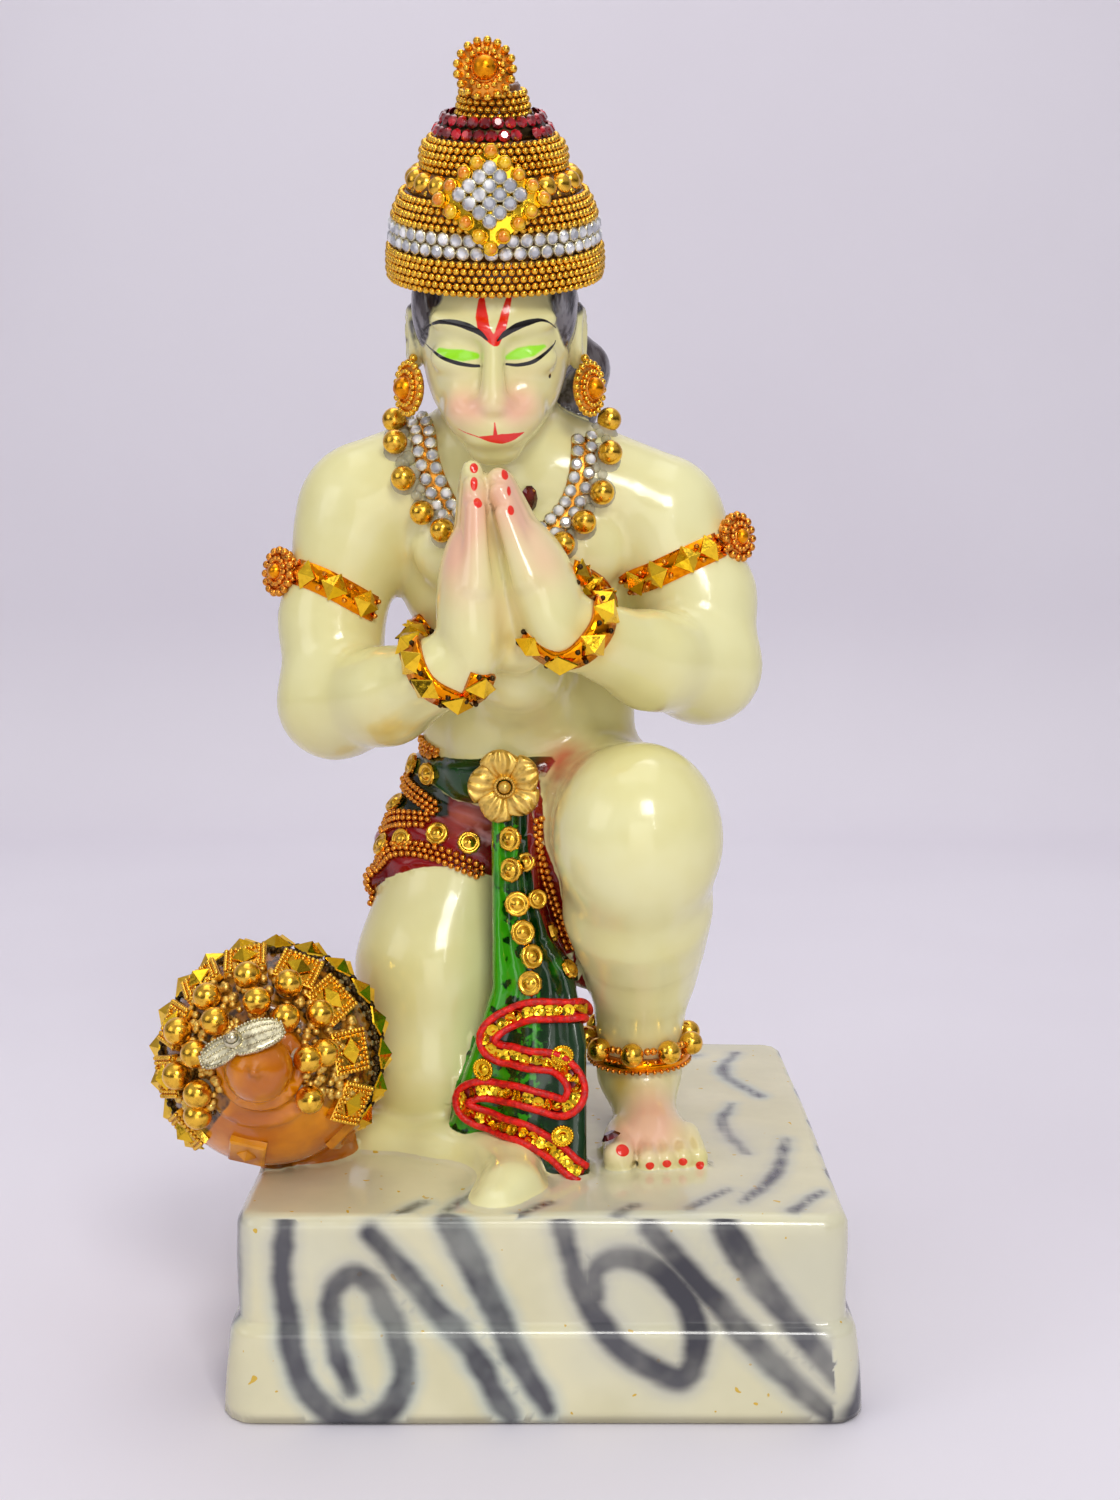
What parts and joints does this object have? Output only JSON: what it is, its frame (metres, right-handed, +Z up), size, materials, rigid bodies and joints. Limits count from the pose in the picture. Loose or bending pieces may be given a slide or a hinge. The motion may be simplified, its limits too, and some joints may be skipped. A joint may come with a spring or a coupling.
{
  "type": "kneeling monkey-faced figurine on a stepped plinth",
  "caption": "Kneeling monkey-faced devotional figurine with folded hands, tall crown and round-headed mace, cast with its square two-step plinth and trimmed in gold.",
  "frame": {"origin": "middle of the plinth's underside", "axes": "+Z up through the figure, -Y towards the side the figure faces, +X towards the figure's left hand"},
  "size_m": [0.1219, 0.1062, 0.2203],
  "materials": {
    "painted_resin": "glossy hand-painted cast marble dust",
    "gold_metal": "bright gold plate",
    "clear_stones": "faceted, silver backed",
    "red_stones": "faceted, foil backed",
    "amber_stones": "faceted, in gold settings",
    "red_cord": "braided cord",
    "silver_gold_metal": "pale gold plate"
  },
  "bodies": {
    "root": {"casting": "painted_resin", "crown_brim_chain": "gold_metal", "crown_stone_band": "clear_stones", "crown_middle_chain": "gold_metal", "crown_dome_row": "gold_metal", "crown_upper_chain": "gold_metal", "crown_red_band": "red_stones", "crown_top_chain": "gold_metal", "crown_brooch": "amber_stones", "crown_rosette": "gold_metal", "earring_right": "gold_metal", "earring_left": "gold_metal", "necklace_strip": "clear_stones", "necklace_beads": "gold_metal", "armlet_right": "gold_metal", "armlet_rosette_right": "gold_metal", "armlet_left": "gold_metal", "armlet_rosette_left": "gold_metal", "bracelet_right": "gold_metal", "bracelet_left": "gold_metal", "waist_flower": "gold_metal", "waist_chain_right": "gold_metal", "hip_chain_upper": "gold_metal", "hip_chain_lower": "gold_metal", "hem_chain": "gold_metal", "drape_chain": "gold_metal", "sash_stud_1": "gold_metal", "sash_stud_2": "gold_metal", "sash_stud_3": "gold_metal", "sash_stud_4": "gold_metal", "sash_stud_5": "gold_metal", "sash_stud_6": "gold_metal", "drape_stud_1": "gold_metal", "drape_stud_2": "gold_metal", "drape_stud_3": "gold_metal", "drape_stud_4": "gold_metal", "hip_coin_1": "gold_metal", "hip_coin_2": "gold_metal", "hip_coin_3": "gold_metal", "hip_coin_4": "gold_metal", "hip_coin_5": "gold_metal", "hip_coin_6": "gold_metal", "hip_coin_7": "gold_metal", "sash_braid": "red_cord", "anklet_band": "gold_metal", "anklet_beads": "gold_metal", "mace_beads_inner": "gold_metal", "mace_beads_outer": "gold_metal", "mace_tiles": "amber_stones", "mace_pyramids_front": "gold_metal", "mace_pyramids_back": "gold_metal", "mace_leaf": "silver_gold_metal", "ring_stone": "red_stones", "toe_stone": "red_stones"}
  },
  "joints": []
}
